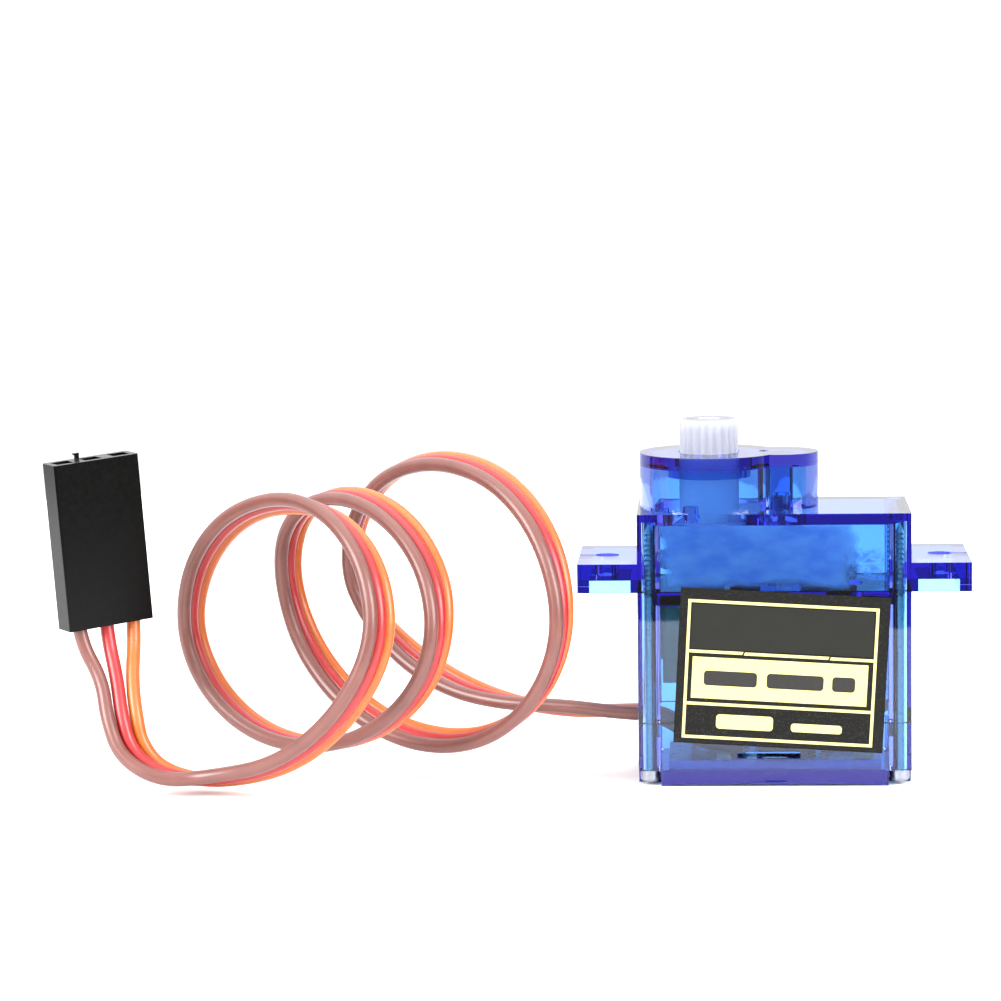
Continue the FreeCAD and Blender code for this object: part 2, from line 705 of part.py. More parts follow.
def make_motor():
    """The brushed motor: can, magnets, armature, commutator, brushes, end cap and terminals."""
    wall = "dims.motor_wall"
    shell = motor_outline("motor_shell", ("dims.motor_low", "dims.deck_low"), "0")
    boss = motor_rod("motor_boss", ("dims.deck_low - 0.2", "dims.motor_boss_top"), "dims.motor_boss_radius")
    hollow = motor_outline("motor_hollow", ("dims.motor_low - 0.1", f"dims.deck_low - {wall}"), wall)
    bush_hole = motor_rod("front_bush_hole", ("dims.deck_low - 1", "dims.motor_boss_top + 0.1"), "1.1")
    parts = [carve("motor_can", join("motor_can_solid", [shell, boss]), [hollow, bush_hole])]

    flange = motor_outline("end_cap_flange", ("dims.end_cap_low", "dims.motor_low"), "0")
    spigot_range = ("dims.motor_low - 0.1", "dims.motor_low + 0.5")
    spigot = motor_outline("end_cap_spigot", spigot_range, f"{wall} + 0.03")
    rear_hole = motor_rod("rear_bush_hole", ("dims.end_cap_low - 0.1", "dims.motor_low + 0.6"), "1.0")
    terminal_places = [f"dims.motor_x + {sign} * 2.3" for sign in (-1, 1)]
    slots = [terminal_tab(f"terminal_slot_{number}", x) for number, x in enumerate(terminal_places)]
    parts.append(carve("motor_end_cap", join("end_cap_solid", [flange, spigot]), [rear_hole] + slots))
    tabs = [terminal_tab(f"terminal_tab_{number}", x) for number, x in enumerate(terminal_places)]
    parts.append(group("motor_terminals", tabs))

    bushes = []
    bush_ranges = {"front": ("dims.deck_low - 0.6", "dims.motor_boss_top", "1.1")}
    bush_ranges["rear"] = ("dims.end_cap_low - 0.2", "dims.motor_low + 0.3", "1.0")
    bore_radius = "dims.motor_shaft_radius + dims.play"
    for end, (low, high, radius) in bush_ranges.items():
        ring = motor_rod(f"{end}_bush_ring", (low, high), radius)
        bore = motor_rod(f"{end}_bush_bore", (f"{low} - 0.1", f"{high} + 0.1"), bore_radius)
        bushes.append(carve(f"{end}_bush", ring, [bore]))
    parts.append(group("motor_bushes", bushes))

    parts.append(make_magnets())
    shaft = ("dims.end_cap_low + 0.1", "dims.first_wheel_top + 0.3")
    parts.append(motor_rod("motor_shaft", shaft, "dims.motor_shaft_radius"))
    parts += make_armature()
    return parts


def terminal_tab(name, x):
    """A flat solder tab that stands through the end cap."""
    height = ("dims.end_cap_low - 1.1", "dims.motor_low + 0.4")
    return block(name, (f"{x} - 0.15", f"{x} + 0.15"), ("-0.5", "0.5"), height)


def make_magnets():
    height = ("dims.motor_low + 1.6", "dims.deck_low - 1.3")
    outer = motor_rod("magnet_outer", height, "dims.motor_radius - dims.motor_wall - 0.05")
    inner = motor_rod("magnet_inner", (f"{height[0]} - 0.1", f"{height[1]} + 0.1"), "2.8")
    ring = carve("magnet_ring", outer, [inner])
    window = block(
        "magnet_window", ("dims.motor_x - 2.2", "dims.motor_x + 2.2"),
        ("-dims.motor_radius", "dims.motor_radius"), height)
    return overlap("motor_magnets", ring, window)


def make_armature():
    """Three iron poles with their copper windings, and the commutator below them."""
    iron = ("dims.motor_low + 2.4", "dims.deck_low - 2")
    around = (f"{iron[0]} - 0.1", f"{iron[1]} + 0.1")
    motor_x = size("motor_x")
    rim_bore = motor_rod("pole_rim_bore", around, "2.2")
    shoes = carve("pole_shoes", motor_rod("pole_rim", iron, "2.6"), [rim_bore])
    hub = motor_rod("pole_hub", iron, "0.95")
    gap = block("pole_gap", ("dims.motor_x - 3", "dims.motor_x - 1.5"), ("-0.35", "0.35"), around)
    spoke = block("pole_spoke", ("dims.motor_x + 0.5", "dims.motor_x + 2.3"), ("-0.35", "0.35"), iron)
    coil = block(
        "pole_coil", ("dims.motor_x + 1.05", "dims.motor_x + 2.15"), ("-0.85", "0.85"),
        (f"{iron[0]} - 0.5", f"{iron[1]} + 0.5"))
    angles = (0, 120, 240)
    rim = carve("pole_arcs", shoes, [turned(gap, angle, motor_x, 0) for angle in angles])
    spokes = [turned(spoke, angle, motor_x, 0) for angle in angles]
    bore = motor_rod("pole_bore", around, "dims.motor_shaft_radius")
    core = carve("armature_core", join("armature_iron", [rim, hub] + spokes), [bore])
    coils = [turned(coil, angle, motor_x, 0) for angle in angles]
    windings = [carve(f"winding_{number}", coil, [core]) for number, coil in enumerate(coils)]

    bars = ("dims.motor_low + 0.6", "dims.motor_low + 1.7")
    drum = motor_rod("commutator_drum", bars, "0.9")
    cuts = [motor_rod("commutator_bore", (f"{bars[0]} - 0.1", f"{bars[1]} + 0.1"), "dims.motor_shaft_radius")]
    slit = block("commutator_slit", ("dims.motor_x + 0.7", "dims.motor_x + 1"), ("-0.06", "0.06"), bars)
    cuts += [turned(slit, angle + 60, motor_x, 0) for angle in angles]
    brushes = []
    for number, sign in enumerate((-1, 1)):
        y_range = ("0.95", "1.1") if sign > 0 else ("-1.1", "-0.95")
        z_range = ("dims.motor_low + 0.5", "dims.motor_low + 1.5")
        x_range = ("dims.motor_x - 1.6", "dims.motor_x + 1.6")
        brushes.append(block(f"motor_brush_{number}", x_range, y_range, z_range))
    return [
        core,
        group("armature_windings", windings),
        carve("commutator", drum, cuts),
        group("motor_brushes", brushes),
    ]


# ---------------------------------------------------------------- the potentiometer
def pot_block(name, z_range, inset):
    half = f"dims.pot_width / 2 - {inset}"
    box = block(name, (f"dims.output_x - ({half})", f"dims.output_x + {half}"), (f"-({half})", half), z_range)
    return box


def pot_rod(name, z_range, radius):
    return rod(name, "dims.output_x", "0", z_range, radius)


def make_potentiometer():
    """The position sensor under the output gear: its shaft turns with that gear."""
    cover = pot_block("pot_cover", ("dims.pot_base_top", "dims.deck_low"), "0")
    rounded = DOC.addObject("Part::Fillet", "pot_cover_rounded")
    rounded.Base = cover
    DOC.recompute()
    upright = [number for number, edge in enumerate(cover.Shape.Edges, start=1) if is_upright(edge)]
    rounded.Edges = [(number, 0.8, 0.8) for number in upright]
    cavity_range = ("dims.pot_base_top - 0.1", "dims.pot_cavity_top")
    cavity = pot_rod("pot_cavity", cavity_range, "dims.pot_cavity_radius")
    bore_range = ("dims.pot_cavity_top - 0.1", "dims.deck_low + 0.1")
    bore = pot_rod("pot_bore", bore_range, "dims.pot_shaft_radius + dims.play")
    housing = carve("pot_housing", rounded, [cavity, bore])

    plate = pot_block("pot_plate", ("dims.pot_base_low", "dims.pot_base_top"), "0.25")
    well_range = ("dims.pot_shaft_low - 0.1", "dims.pot_base_top + 0.1")
    well = pot_rod("pot_well", well_range, "dims.pot_shaft_radius + dims.play")
    terminal_xs = [f"dims.output_x + {number} * 2.2" for number in (-1, 0, 1)]
    pin_range = ("dims.pot_base_low - 1.4", "dims.pot_base_low + 0.8")
    slots = [pin(f"pot_slot_{number}", x, pin_range) for number, x in enumerate(terminal_xs)]
    base = carve("pot_base", plate, [well] + slots)
    pins = [pin(f"pot_pin_{number}", x, pin_range) for number, x in enumerate(terminal_xs)]

    track_range = ("dims.pot_base_top", "dims.pot_base_top + 0.1")
    track_cut = (f"{track_range[0]} - 0.1", f"{track_range[1]} + 0.1")
    track_bore = pot_rod("track_bore", track_cut, "2.0")
    ring = carve("track_ring", pot_rod("track_disc", track_range, "3.3"), [track_bore])
    opening_x = ("dims.output_x - 1", "dims.output_x + 1")
    opening = block("track_opening", opening_x, ("1", "dims.pot_width / 2"), track_cut)
    track = carve("pot_track", ring, [opening])

    shaft_rod = pot_rod("shaft_rod", ("dims.pot_shaft_low", "dims.pot_shaft_top"), "dims.pot_shaft_radius")
    flat = block(
        "shaft_flat", (f"dims.output_x + {flat_distance()}", "dims.output_x + 2"), ("-1", "1"),
        ("dims.second_pinion_top + 0.05", "dims.pot_shaft_top + 0.1"))
    shaft = carve("pot_shaft", shaft_rod, [flat])
    arm_range = ("dims.pot_base_top + 0.6", "dims.pot_base_top + 1")
    arm = pot_rod("wiper_disc", arm_range, "1.6")
    reach = block("wiper_reach", ("dims.output_x - 3.1", "dims.output_x"), ("-0.5", "0.5"), arm_range)
    finger = block(
        "wiper_finger", ("dims.output_x - 3.1", "dims.output_x - 2.2"), ("-0.5", "0.5"),
        ("dims.pot_base_top + 0.14", "dims.pot_base_top + 0.7"))
    wiper_bore_range = ("dims.pot_base_top", "dims.pot_base_top + 2")
    wiper_bore = pot_rod("wiper_bore", wiper_bore_range, "dims.pot_shaft_radius")
    wiper = carve("pot_wiper", join("wiper_solid", [arm, reach, finger]), [wiper_bore])
    return [housing, base, group("pot_terminals", pins), track, shaft, wiper]


def is_upright(edge):
    ends = [vertex.Point for vertex in edge.Vertexes]
    return abs(ends[0].x - ends[1].x) + abs(ends[0].y - ends[1].y) < 1e-6


def pin(name, x, z_range):
    return block(name, (f"{x} - 0.3", f"{x} + 0.3"), ("3.1", "3.4"), z_range)


# ---------------------------------------------------------------- the circuit board
BOARD_TOP = "dims.base_plate + dims.board_thick"


def chip_block(name, x, y, length, width, height):
    """A surface-mounted body on the board, centred at x, y."""
    return block(
        name, (f"{x - length / 2}", f"{x + length / 2}"), (f"{y - width / 2}", f"{y + width / 2}"),
        (BOARD_TOP, f"{BOARD_TOP} + {height}"))


def make_electronics():
    board = block(
        "circuit_board", ("-dims.board_length / 2", "dims.board_length / 2"),
        ("-dims.board_depth / 2", "dims.board_depth / 2"), ("dims.base_plate", BOARD_TOP))
    chip_x = 1.0
    chip_y = -1.0
    leg_pitch = 1.27
    driver = [chip_block("chip_body", chip_x, chip_y, 4.9, 3.0, 1.3)]
    for row in (-1, 1):
        for number in range(4):
            x = chip_x + (number - 1.5) * leg_pitch
            driver.append(chip_block(f"chip_leg_{row + 1}_{number}", x, chip_y + row * 1.95, 0.4, 0.9, 0.3))
    transistors = []
    capacitors = []
    resistors = []
    for number in (0, 1):
        transistors.append(chip_block(f"transistor_{number}", 2.0 + 3.6 * number, 2.9, 2.6, 1.3, 1.0))
        capacitors.append(chip_block(f"capacitor_{number}", 7.4, -3.2 + 1.9 * number, 1.6, 0.8, 0.8))
        resistors.append(chip_block(f"resistor_{number}", -4.2, -3.7 + 1.0 * number, 1.2, 0.6, 0.4))
    return [
        board,
        join("driver_chip", driver),
        group("bridge_transistors", transistors),
        group("chip_capacitors", capacitors),
        group("chip_resistors", resistors),
    ]


# ---------------------------------------------------------------- wires
def smooth_path(points, label):
    """Straight runs joined by tangent arcs, each as large as its two runs allow."""
    edges = []
    start = points[0]
    smallest = math.inf
    for before, corner, after in zip(points, points[1:], points[2:]):
        back = before - corner
        forward = after - corner
        half_turn = (math.pi - back.getAngle(forward)) / 2
        reach = 0.45 * min(back.Length, forward.Length)
        radius = reach / math.tan(half_turn)
        smallest = min(smallest, radius)
        arc_start = corner + back.normalize() * reach
        arc_end = corner + forward.normalize() * reach
        inward = (back + forward).normalize()
        middle = corner + inward * (radius / math.cos(half_turn) - radius)
        edges.append(Part.LineSegment(start, arc_start).toShape())
        edges.append(Part.Arc(arc_start, middle, arc_end).toShape())
        start = arc_end
    edges.append(Part.LineSegment(start, points[-1]).toShape())
    path = Part.Wire(edges)
    print(f"{label}: length {path.Length:.1f}, smallest radius {smallest:.2f}")
    return path


def tube(label, points, radius):
    """A round wire along a smooth path, as one solid."""
    path = smooth_path(points, label)
    section = Part.Wire([Part.Circle(points[0], points[1] - points[0], radius).toShape()])
    solid = path.makePipeShell([section], True, False)
    ideal = math.pi * radius ** 2 * path.Length
    if abs(solid.Volume / ideal - 1) > 0.01:
        raise RuntimeError(f"{label} has volume {solid.Volume:.2f}, not {ideal:.2f}")
    feature = DOC.addObject("Part::Feature", label)
    feature.Shape = solid
    return feature


# From the circuit board to the first loop: the place of the lead's middle wire and the
# direction in which its three wires lie side by side, from brown to orange.
SERVO_END = [
    (Vector(-2.6, 0, 2.5), Vector(0, 1, 0)),
    (Vector(-5.9, 0, 2.5), Vector(0, 1, 0)),
    (Vector(-9.3, 0, 5.2), Vector(0, 1, 0)),
    (Vector(-13.0, 0, 5.25), Vector(0, 1, -0.1)),
    (Vector(-17.5, 0.7, 5.4), Vector(0.1, 0.93, -0.35)),
    (Vector(-22.5, 2.2, 5.6), Vector(0.25, 0.95, -0.1)),
    (Vector(-27.3, 4.6, 6.7), Vector(0.35, 0.9, 0.2)),
    (Vector(-31.6, 7.2, 9.0), Vector(0.4, 0.9, 0.2)),
    (Vector(-34.9, 9.2, 12.3), Vector(0.25, 0.95, 0.0)),
]

# The three standing loops, one row a quarter turn from the first loop's far side: the
# middle of the turn there, its two half widths, and how far the flat lead leans outwards.
LOOP_HEADING = math.radians(42)
QUARTER_TURNS = [
    # x, y, z, level half width, upright half width, lean in degrees
    (-26.9, 0.5, 16.4, 13.2, 11.4, 35),
    (-26.9, 0.0, 15.2, 14.0, 11.7, 5),
    (-27.0, -0.6, 13.9, 13.4, 12.9, -28),
    (-29.7, -1.0, 14.6, 13.7, 11.7, -12),
    (-32.4, -1.5, 15.3, 12.8, 11.1, 24),
    (-34.3, -2.1, 14.3, 13.2, 9.7, 2),
    (-36.7, -2.7, 13.2, 12.8, 8.8, -20),
    (-38.8, -3.4, 12.8, 13.0, 10.0, 4),
    (-41.0, -4.2, 12.3, 12.4, 11.1, 24),
    (-39.8, -5.1, 13.0, 13.5, 11.1, -24),
    (-41.5, -6.0, 13.7, 13.3, 12.1, -12),
    (-46.6, -8.6, 14.6, 13.5, 13.5, 17),
]
POINTS_A_QUARTER = 3

# From the last loop to just below the plug, as at the servo's end.
PLUG_END = [
    (Vector(-50.7, -9.0, 1.55), Vector(0.3, 0.9, 0.0)),
    (Vector(-53.3, -8.5, 3.5), Vector(0.6, 0.75, 0.25)),
    (Vector(-54.15, -7.9, 6.3), Vector(0.8, 0.5, 0.2)),
    (Vector(-54.7, -6.3, 9.2), Vector(0.9, 0.43, 0.05)),
]
PLUG_CENTRE = Vector(-56.2, -4.95, 20.7)
PLUG_SPIN = Rotation(Z_AXIS, 33.4)
PLUG_TILT = Rotation(X_AXIS, 2.6)
PLUG_ROLL = Rotation(Y_AXIS, -3.5)
PLUG_TURN = PLUG_ROLL.multiply(PLUG_TILT).multiply(PLUG_SPIN)
WIRE_END_LEVEL = 2.0     # how far the wires reach into the plug
PLUG_LEAD_LEVEL = 1.0    # how far below the plug the wires are still a plug's pitch apart
WIRES = (("wire_brown", -1), ("wire_red", 0), ("wire_orange", 1))


def loop_stations():
    """The lead's middle wire round the loops, with the direction across the lead."""
    stations = []
    axis = Vector(math.sin(LOOP_HEADING), math.cos(LOOP_HEADING), 0)
    for quarter, (row, following) in enumerate(zip(QUARTER_TURNS, QUARTER_TURNS[1:]), start=1):
        for step in range(POINTS_A_QUARTER):
            share = step / POINTS_A_QUARTER
            x, y, z, level, upright, lean = (a + (b - a) * share for a, b in zip(row, following))
            stations.append(loop_station(Vector(x, y, z), level, upright, lean, quarter + share, axis))
    x, y, z, level, upright, lean = QUARTER_TURNS[-1]
    stations.append(loop_station(Vector(x, y, z), level, upright, lean, len(QUARTER_TURNS), axis))
    return stations


def loop_station(middle, level, upright, lean, quarters, axis):
    angle = math.radians(90 * quarters)
    side = Vector(math.cos(LOOP_HEADING), -math.sin(LOOP_HEADING), 0)
    outward = side * -math.sin(angle) + Z_AXIS * -math.cos(angle)
    place_on_loop = middle + side * (-level * math.sin(angle)) + Z_AXIS * (-upright * math.cos(angle))
    across = axis * math.cos(math.radians(lean)) + outward * math.sin(math.radians(lean))
    return place_on_loop, across


def lead_stations():
    """Every point of the lead with its square direction across, before the plug."""
    rough = SERVO_END + loop_stations() + PLUG_END
    stations = []
    for number, (middle, across) in enumerate(rough):
        before = rough[max(number - 1, 0)][0]
        after = rough[min(number + 1, len(rough) - 1)][0]
        along = (after - before).normalize()
        square = across - along * across.dot(along)
        stations.append((middle, square.normalize()))
    return stations


def plug_point(x, y, z):
    return PLUG_CENTRE + PLUG_TURN.multVec(Vector(x, y, z))


def make_lead():
    """The three wires of the lead, side by side, fanning out to the plug's pitch at its end."""
    half_plug = size("plug_length") / 2
    wires = []
    for label, rank in WIRES:
        points = [middle + across * (rank * size("wire_pitch")) for middle, across in lead_stations()]
        plug_x = rank * size("plug_pitch")
        points.append(plug_point(plug_x, 0, -half_plug - PLUG_LEAD_LEVEL))
        points.append(plug_point(plug_x, 0, -half_plug + WIRE_END_LEVEL))
        wires.append(tube(label, points, size("wire_radius")))
    return wires


def make_inner_wires():
    """Thin wires that leave the terminals straight down and reach the board upright."""
    board_top = size("base_plate") + size("board_thick")
    motor_x = size("motor_x")
    tab_low = size("end_cap_low") - 1.1
    pin_low = size("pot_base_low") - 1.4
    motor_leads = []
    for number, side in enumerate((-1, 1)):
        start = Vector(motor_x + side * 2.3, 0, tab_low)
        end = Vector(start.x - side * 0.6, side * 0.5, board_top)
        motor_leads.append(drop_wire(f"motor_lead_{number}", start, end, 0.65))
    pot_leads = []
    for number in (-1, 0, 1):
        start = Vector(size("output_x") + number * 2.2, 3.25, pin_low)
        end = Vector(start.x + 0.8, 3.6, board_top)
        pot_leads.append(drop_wire(f"pot_lead_{number + 1}", start, end, 1.4))
    return [group("motor_leads", motor_leads), group("pot_leads", pot_leads)]


def drop_wire(label, start, end, straight):
    """A thin wire from a terminal down to the board, upright at both ends."""
    places = [start, start - Z_AXIS * straight, end + Z_AXIS * straight, end]
    return tube(label, places, size("thin_wire_radius"))


def make_plug():
    """The three-pole plug: a housing with three cells, and a crimped contact in each cell."""
    half_pitch_x = size("plug_pitch") / 2
    half_length = size("plug_length") / 2
    ranks = (-1, 0, 1)
    corner = Vector(-3 * half_pitch_x, -half_pitch_x, -half_length)
    housing = Part.makeBox(6 * half_pitch_x, 2 * half_pitch_x, 2 * half_length, corner)
    upright = [edge for edge in housing.Edges if is_upright(edge)]
    housing = housing.makeFillet(0.18, upright)
    cell_half = 0.9
    roof = half_length - 0.8
    contacts = []
    for rank in ranks:
        x = rank * size("plug_pitch")
        cell = Part.makeBox(2 * cell_half, 2 * cell_half, roof + half_length + 0.1,
                            Vector(x - cell_half, -cell_half, -half_length - 0.1))
        pin_hole = Part.makeBox(0.9, 0.9, 1.0, Vector(x - 0.45, -0.45, roof - 0.1))
        funnel = Part.makeBox(1.5, 1.5, 0.3, Vector(x - 0.75, -0.75, half_length - 0.2))
        window = Part.makeBox(1.3, 1.0, 2.6, Vector(x - 0.65, 0.5, -half_length + 5.0))
        housing = housing.cut(cell).cut(pin_hole).cut(funnel).cut(window)
        contacts.append(contact_shape(x, roof - 0.1, -half_length + WIRE_END_LEVEL))
    latch = Part.makeBox(0.36, 0.22, 0.5, Vector(-0.95, half_pitch_x - 0.35, half_length - 0.05))
    hook = Part.makeBox(0.5, 0.3, 0.14, Vector(-1.09, half_pitch_x - 0.43, half_length + 0.34))
    housing = housing.fuse(latch).fuse(hook).removeSplitter()
    pose = Placement(PLUG_CENTRE, PLUG_TURN)
    shell = DOC.addObject("Part::Feature", "plug_housing")
    shell.Shape = housing
    shell.Placement = pose
    pieces = []
    for number, shape in enumerate(contacts):
        contact = DOC.addObject("Part::Feature", f"plug_contact_{number}")
        contact.Shape = shape
        contact.Placement = pose
        pieces.append(contact)
    return [shell, group("plug_contacts", pieces)]


def contact_shape(x, top, low):
    """A square spring socket above a crimped barrel that meets the wire's end."""
    socket_low = low + 4.5
    outer = Part.makeBox(1.5, 1.5, top - socket_low, Vector(x - 0.75, -0.75, socket_low))
    inner = Part.makeBox(0.8, 0.8, top - socket_low, Vector(x - 0.4, -0.4, socket_low + 0.4))
    barrel = Part.makeCylinder(0.6, socket_low - low + 0.1, Vector(x, 0, low))
    return outer.cut(inner).fuse(barrel).removeSplitter()


# ---------------------------------------------------------------- build, check and write
def make_everything():
    fill_sheet()
    nodes = [make_top_case(), make_middle_case(), make_bottom_cover(), make_case_screws(), make_label()]
    nodes += [make_output_gear(), make_third_gear(), make_second_gear(), make_first_gear()]
    nodes += [make_gear_axle(), make_motor_pinion()]
    nodes += make_motor()
    nodes += make_potentiometer()
    nodes += make_electronics()
    nodes += make_inner_wires()
    nodes += make_lead()
    nodes += make_plug()
    DOC.recompute()
    return nodes


def check_and_write(nodes):
    for item in DOC.Objects:
        if "Invalid" in item.State or "Error" in item.State:
            raise RuntimeError(f"{item.Name} is {item.State}")
    os.makedirs("parts", exist_ok=True)
    for node in nodes:
        node.Label = node.Name
        if node.Shape.isNull() or not node.Shape.isValid() or not node.Shape.Solids:
            raise RuntimeError(f"{node.Label} has no valid solid")
    for node in nodes:
        node.Shape.exportStep(f"parts/{node.Label}.step")
        print(f"{node.Label}: {len(node.Shape.Solids)} solid(s), {node.Shape.Volume:.2f} cubic mm")


check_and_write(make_everything())
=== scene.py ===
import math

import bpy
from mathutils import Matrix, Vector, noise


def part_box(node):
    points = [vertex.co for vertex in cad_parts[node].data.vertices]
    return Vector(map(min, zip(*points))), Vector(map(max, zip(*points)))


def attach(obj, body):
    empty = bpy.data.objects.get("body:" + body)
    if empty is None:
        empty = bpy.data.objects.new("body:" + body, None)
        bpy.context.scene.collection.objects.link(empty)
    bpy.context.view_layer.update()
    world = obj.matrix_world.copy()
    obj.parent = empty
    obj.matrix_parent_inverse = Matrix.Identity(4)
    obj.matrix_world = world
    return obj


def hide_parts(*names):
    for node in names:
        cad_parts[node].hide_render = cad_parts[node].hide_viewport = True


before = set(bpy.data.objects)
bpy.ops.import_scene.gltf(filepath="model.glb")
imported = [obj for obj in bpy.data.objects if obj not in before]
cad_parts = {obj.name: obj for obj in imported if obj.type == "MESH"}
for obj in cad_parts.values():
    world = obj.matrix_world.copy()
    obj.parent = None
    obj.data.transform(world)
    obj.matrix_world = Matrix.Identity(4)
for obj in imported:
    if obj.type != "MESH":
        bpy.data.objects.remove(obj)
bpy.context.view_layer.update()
MM = 0.001  # the scene is in metres, the sizes below are in millimetres
Y_AXIS = Vector((0, 1, 0))
Z_AXIS = Vector((0, 0, 1))


# ---------------------------------------------------------------- helpers: nodes and meshes
class Shader:
    """A material under construction: nodes are added and linked by short calls."""

    def __init__(self, name):
        self.material = bpy.data.materials.new(name)
        self.material.use_nodes = True
        self.nodes = self.material.node_tree.nodes
        self.links = self.material.node_tree.links
        self.surface = self.nodes["Principled BSDF"]
        self.place = self.nodes.new("ShaderNodeTexCoord").outputs["Object"]

    def set(self, **values):
        """Set sockets of the surface shader; an underscore stands for a space."""
        for name, value in values.items():
            self.surface.inputs[name.replace("_", " ")].default_value = value
        return self

    def add(self, kind, **values):
        node = self.nodes.new(kind)
        for name, value in values.items():
            if name in node.inputs:
                node.inputs[name].default_value = value
            else:
                setattr(node, name, value)
        return node

    def noise(self, per_mm, detail=3.0, roughness=0.55, stretch=(1, 1, 1)):
        """Noise with about per_mm cells to a millimetre, as a value from 0 to 1."""
        mapping = self.add("ShaderNodeMapping", Scale=stretch)
        self.links.new(self.place, mapping.inputs["Vector"])
        node = self.add("ShaderNodeTexNoise", Scale=per_mm / MM, Detail=detail, Roughness=roughness)
        self.links.new(mapping.outputs["Vector"], node.inputs["Vector"])
        return node.outputs["Fac"]

    def ramp(self, value, low, high, from_low=0.3, from_high=0.7):
        """A value stretched from one range to another."""
        node = self.add("ShaderNodeMapRange")
        node.inputs["From Min"].default_value = from_low
        node.inputs["From Max"].default_value = from_high
        node.inputs["To Min"].default_value = low
        node.inputs["To Max"].default_value = high
        self.links.new(value, node.inputs["Value"])
        return node.outputs["Result"]

    def mix(self, share, first, second):
        """A colour between two colours."""
        node = self.add("ShaderNodeMix", data_type="RGBA")
        for socket, colour in (("A", first), ("B", second)):
            colour_input = [s for s in node.inputs if s.name == socket and s.type == "RGBA"][0]
            if isinstance(colour, bpy.types.NodeSocket):
                self.links.new(colour, colour_input)
            else:
                colour_input.default_value = (*colour, 1)
        self.links.new(share, node.inputs["Factor"])
        return [s for s in node.outputs if s.type == "RGBA"][0]

    def drive(self, socket, value):
        self.links.new(value, self.surface.inputs[socket])
        return self

    def bump(self, height, depth_mm, strength=1.0):
        node = self.add("ShaderNodeBump", Strength=strength, Distance=depth_mm * MM)
        self.links.new(height, node.inputs["Height"])
        self.links.new(node.outputs["Normal"], self.surface.inputs["Normal"])
        return self


def new_mesh(name, points, faces, smooth=False):
    """A mesh object from points in millimetres."""
    mesh = bpy.data.meshes.new(name)
    mesh.from_pydata([Vector(p) * MM for p in points], [], faces)
    mesh.validate()
    mesh.update()
    if smooth:
        mesh.shade_smooth()
    piece = bpy.data.objects.new(name, mesh)
    bpy.context.scene.collection.objects.link(piece)
    return piece


def paint(material, *pieces):
    """Give whole pieces, or CAD nodes by name, one material."""
    for piece in pieces:
        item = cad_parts[piece] if isinstance(piece, str) else piece
        item.data.materials.clear()
        item.data.materials.append(material)


# ---------------------------------------------------------------- materials
MILK = "milk"  # the grease mesh's attribute that says how much grease covers a place


def clear_blue():
    """Transparent blue moulded plastic: pale where thin, indigo along its walls."""
    shader = Shader("clear_blue")
    shader.set(Base_Color=(0.335, 0.79, 1.0, 1), Transmission_Weight=1.0, IOR=1.55, Roughness=0.02)
    absorption = shader.add("ShaderNodeVolumeAbsorption", Color=(0.32, 0.05, 0.77, 1), Density=500.0)
    output = shader.nodes["Material Output"]
    shader.links.new(absorption.outputs["Volume"], output.inputs["Volume"])
    flow = shader.noise(0.35, detail=2.0)
    shader.bump(flow, 0.02, 0.25)
    return shader.material


WHEEL_DARK = (0.90, 0.90, 0.92)
WHEEL_LIGHT = (0.96, 0.96, 0.97)
HEAD_PAINTED_SHADE = (0.42, 0.43, 0.48)  # painted shade: the head in the open is darkened to suit the strong front lights
# painted shade: the darker tone given to the head's upward-facing faces
HEAD_TOP_PAINTED_SHADE = (0.22, 0.225, 0.25)


def nylon(name, dark, light):
    """White moulded nylon, slightly translucent."""
    shader = Shader(name)
    tone = shader.ramp(shader.noise(1.2), 0.0, 1.0)
    shader.drive("Base Color", shader.mix(tone, dark, light))
    shader.set(Roughness=0.6, Subsurface_Weight=1.0, Subsurface_Scale=0.003, Transmission_Weight=0.25)
    shader.surface.inputs["Subsurface Radius"].default_value = (1.0, 1.0, 1.1)
    shader.bump(shader.noise(6.0), 0.01, 0.3)
    return shader


def output_nylon():
    """The output gear's nylon, with painted shade that greys the head that stands in the open, darker still
    on its upward faces.
    """
    shader = nylon("output_nylon", WHEEL_DARK, WHEEL_LIGHT)
    level = shader.add("ShaderNodeSeparateXYZ")
    shader.links.new(shader.add("ShaderNodeNewGeometry").outputs["Position"], level.inputs["Vector"])
    head = shader.ramp(level.outputs["Z"], 0.0, 1.0, 0.0270, 0.0274)
    slope = shader.add("ShaderNodeSeparateXYZ")
    shader.links.new(shader.add("ShaderNodeNewGeometry").outputs["Normal"], slope.inputs["Vector"])
    # painted shade: faces whose normal points up get the darker top shade, the others the head shade
    painted_head_shade = shader.mix(shader.ramp(slope.outputs["Z"], 0.0, 1.0, 0.5, 0.9), HEAD_PAINTED_SHADE, HEAD_TOP_PAINTED_SHADE)
    wheel_tone = shader.surface.inputs["Base Color"].links[0].from_socket
    shader.drive("Base Color", shader.mix(head, wheel_tone, painted_head_shade))
    return shader.material


def grease():
    """Milky gear grease: it blurs what lies behind it, and thins out to nothing at its rim."""
    shader = Shader("milky_grease")
    tone = shader.ramp(shader.noise(0.4, stretch=(1, 1, 1.8)), 0.0, 1.0, 0.38, 0.62)
    shader.drive("Base Color", shader.mix(tone, (0.66, 0.70, 0.92), (1.0, 1.0, 1.0)))
    shader.drive("Roughness", shader.ramp(shader.noise(1.1), 0.35, 0.7))
    shader.set(Transmission_Weight=0.4, IOR=1.4)
    shader.bump(shader.noise(1.5), 0.05, 0.5)
    milk = shader.add("ShaderNodeAttribute", attribute_name=MILK).outputs["Fac"]
    cover = shader.add("ShaderNodeMixShader")
    shader.links.new(milk, cover.inputs["Fac"])
    shader.links.new(shader.add("ShaderNodeBsdfTransparent").outputs["BSDF"], cover.inputs[1])
    shader.links.new(shader.surface.outputs["BSDF"], cover.inputs[2])
    shader.links.new(cover.outputs["Shader"], shader.nodes["Material Output"].inputs["Surface"])
    return shader.material


